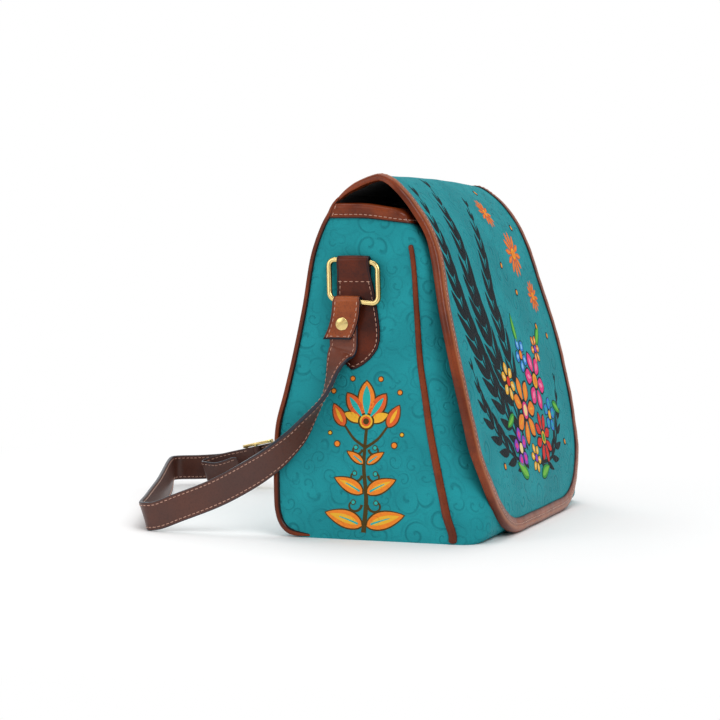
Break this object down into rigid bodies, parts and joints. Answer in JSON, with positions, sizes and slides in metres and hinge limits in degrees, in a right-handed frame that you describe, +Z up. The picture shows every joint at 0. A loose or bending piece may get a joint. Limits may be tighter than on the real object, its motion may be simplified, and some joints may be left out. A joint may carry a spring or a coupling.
{
  "type": "saddle handbag",
  "caption": "Boxy saddle handbag with an arched overlapping flap, ring-hung shoulder strap with slider, gusseted sides and piped seams.",
  "frame": {"origin": "on the ground, on the middle plane of the bag, under the widest part of the gusset's middle", "axes": "+Z up, the flap faces -Y, the strap lies behind at +Y, X runs from the pictured gusset (-X) to the far one (+X)"},
  "size_m": [0.2776, 0.3332, 0.2395],
  "materials": {
    "teal_leather": "embossed satin",
    "brown_leather": "polished, stitched",
    "strap_leather": "satin with dark painted edges",
    "lining": "matt woven",
    "board": "matt",
    "gold_metal": "polished",
    "snap_metal": "polished"
  },
  "bodies": {
    "bag": {"back_panel": "teal_leather", "front_panel": "teal_leather", "gusset_left": "teal_leather", "gusset_right": "teal_leather", "base_panel": "teal_leather", "base_board": "board", "body_lining": "lining", "mouth_band": "brown_leather", "back_piping": "brown_leather", "front_piping": "brown_leather", "tab_left": "brown_leather", "tab_right": "brown_leather", "snap_socket": "snap_metal"},
    "flap": {"flap_panel": "teal_leather", "flap_lining": "lining", "flap_binding": "brown_leather", "snap_stud": "snap_metal"},
    "ring_left_set": {"ring_left": "gold_metal", "strap_end_left": "strap_leather", "screw_left": "gold_metal"},
    "ring_right_set": {"ring_right": "gold_metal", "strap_end_right": "strap_leather", "screw_right": "gold_metal"},
    "strap_set": {"strap": "strap_leather"},
    "adjuster": {"slider": "gold_metal", "strap_tail": "strap_leather"}
  },
  "joints": [
    {"name": "flap_hinge", "type": "hinge", "parent": "bag", "child": "flap", "pos_m": [0, 0.03017, 0.21922], "axis": [-1, 0, 0], "range_deg": [0, 120]},
    {"name": "ring_left_swing", "type": "hinge", "parent": "bag", "child": "ring_left_set", "pos_m": [-0.11973, 0.012, 0.1805], "axis": [0, 1, 0], "range_deg": [0, 35]},
    {"name": "ring_right_swing", "type": "hinge", "parent": "bag", "child": "ring_right_set", "pos_m": [0.11973, 0.012, 0.1805], "axis": [0, -1, 0], "range_deg": [0, 35]},
    {"name": "strap_swing", "type": "hinge", "parent": "bag", "child": "strap_set", "pos_m": [0, 0.0175, 0.14], "axis": [1, 0, 0], "range_deg": [0, 85]},
    {"name": "adjuster_slide", "type": "slide", "parent": "strap_set", "child": "adjuster", "axis": [0, 0.974, -0.2266], "range_m": [-0.025, 0.008]}
  ]
}
